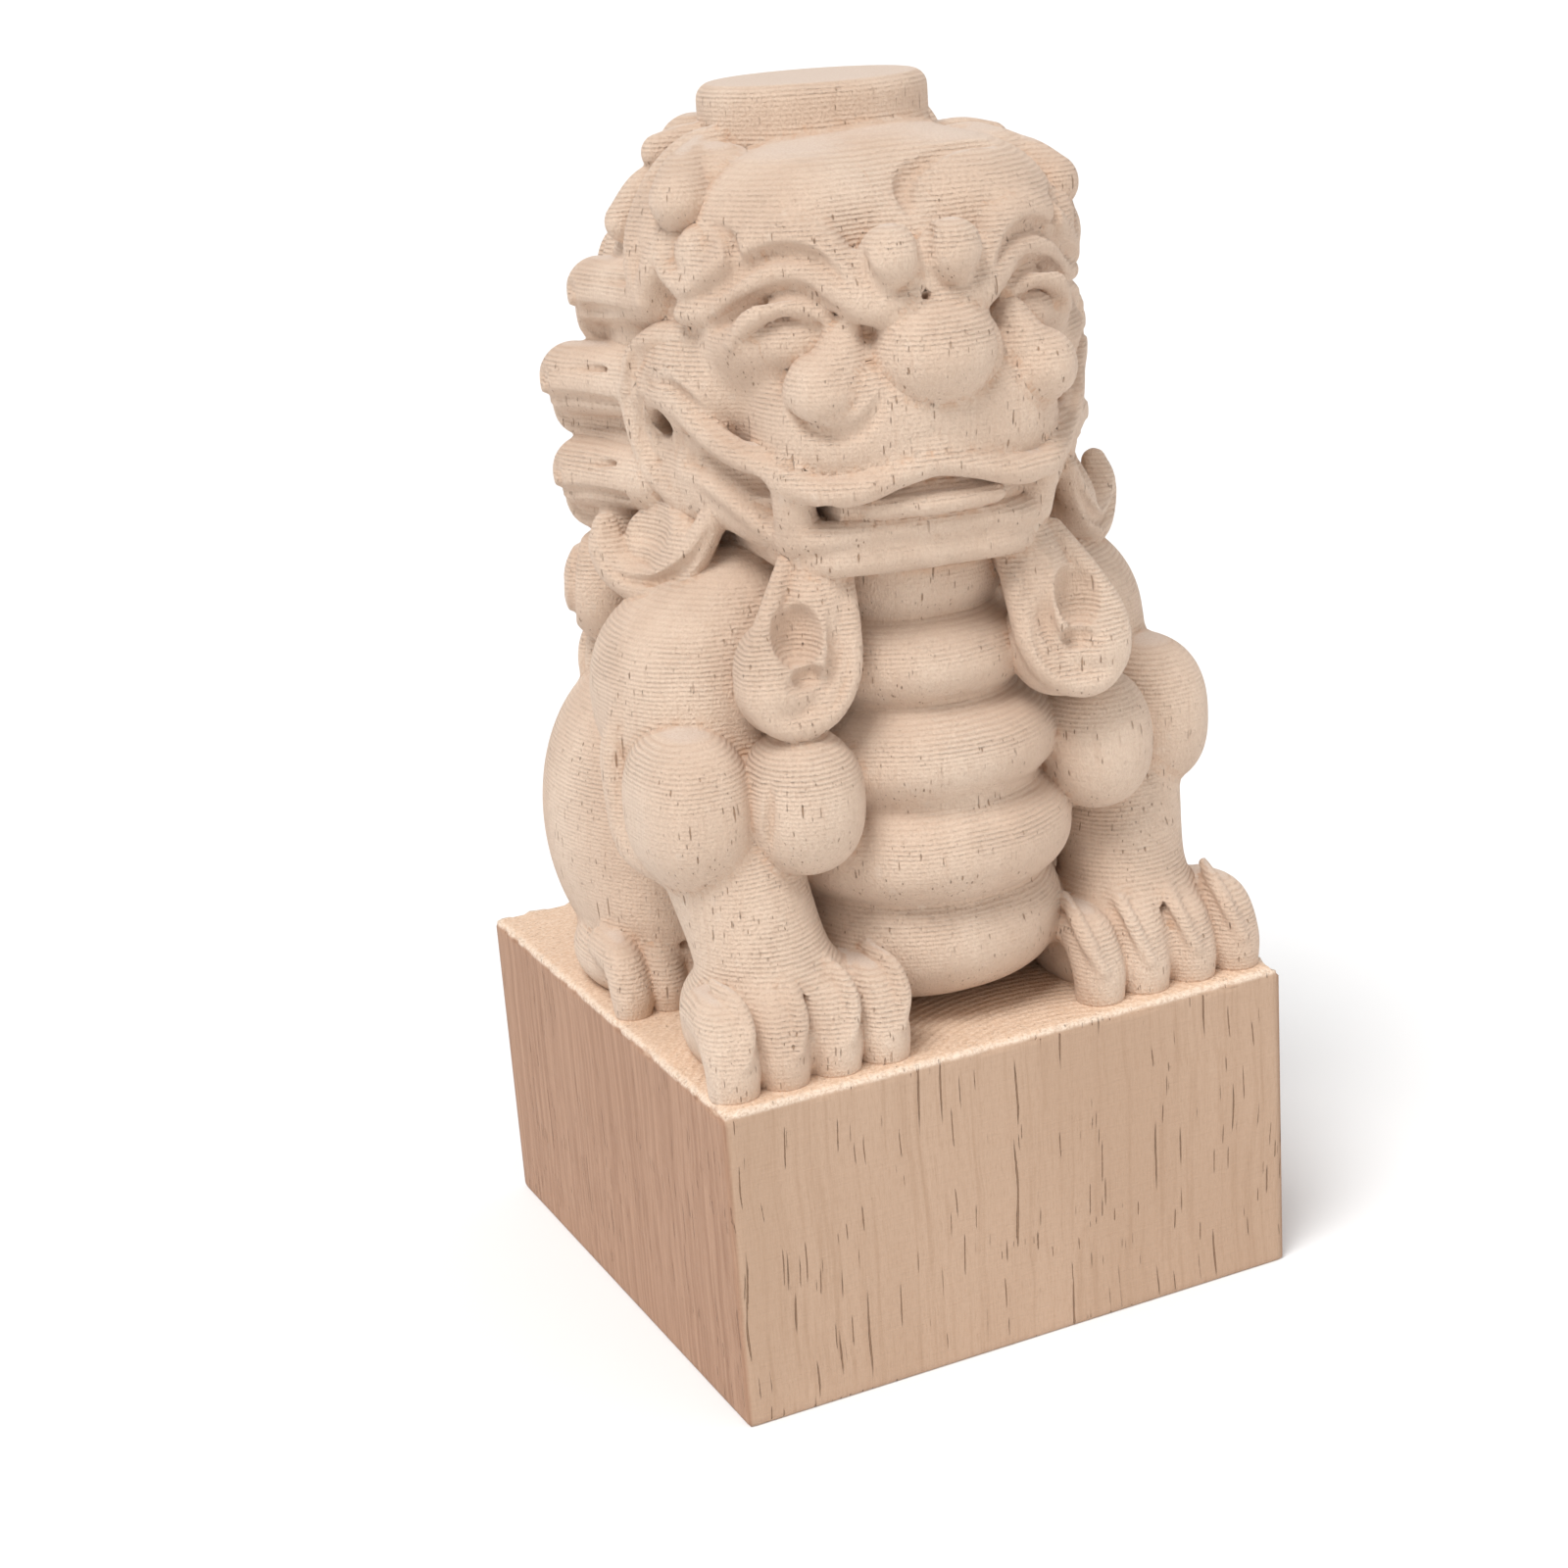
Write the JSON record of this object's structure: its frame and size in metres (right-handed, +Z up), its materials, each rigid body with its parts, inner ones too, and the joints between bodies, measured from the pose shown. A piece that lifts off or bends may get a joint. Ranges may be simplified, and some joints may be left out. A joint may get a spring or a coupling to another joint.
{
  "type": "carved guardian lion figure",
  "caption": "Seated guardian lion with curled mane and open mouth, carved in pale wood on a square plinth, with a flat round boss on its head.",
  "frame": {"origin": "centre of the plinth's underside", "axes": "+Z up through the crown boss, -Y out of the plinth's front face, which the lion faces, +X to the lion's left"},
  "size_m": [0.09, 0.09, 0.178],
  "materials": {
    "planed_wood": "bare, planed, open grain",
    "carved_wood": "bare, machine carved with fine tool ridges"
  },
  "bodies": {
    "root": {"plinth": "planed_wood", "trunk": "carved_wood", "belly": "carved_wood", "right_shoulder": "carved_wood", "left_shoulder": "carved_wood", "right_foreleg": "carved_wood", "left_foreleg": "carved_wood", "right_fore_paw": "carved_wood", "left_fore_paw": "carved_wood", "right_elbow_curls": "carved_wood", "left_elbow_curls": "carved_wood", "right_haunch": "carved_wood", "left_haunch": "carved_wood", "right_hind_paw": "carved_wood", "left_hind_paw": "carved_wood", "head": "carved_wood", "crown_boss": "carved_wood", "nose": "carved_wood", "right_eye": "carved_wood", "left_eye": "carved_wood", "right_brow": "carved_wood", "left_brow": "carved_wood", "right_forehead_leaf": "carved_wood", "left_forehead_leaf": "carved_wood", "upper_lip": "carved_wood", "lower_jaw": "carved_wood", "right_fang": "carved_wood", "left_fang": "carved_wood", "tongue": "carved_wood", "right_cheek_swirl": "carved_wood", "left_cheek_swirl": "carved_wood", "right_beard_tuft": "carved_wood", "left_beard_tuft": "carved_wood", "right_cheek_curl": "carved_wood", "left_cheek_curl": "carved_wood", "right_side_mane": "carved_wood", "left_side_mane": "carved_wood", "nape_mane": "carved_wood", "back_mane": "carved_wood", "tail": "carved_wood"}
  },
  "joints": []
}
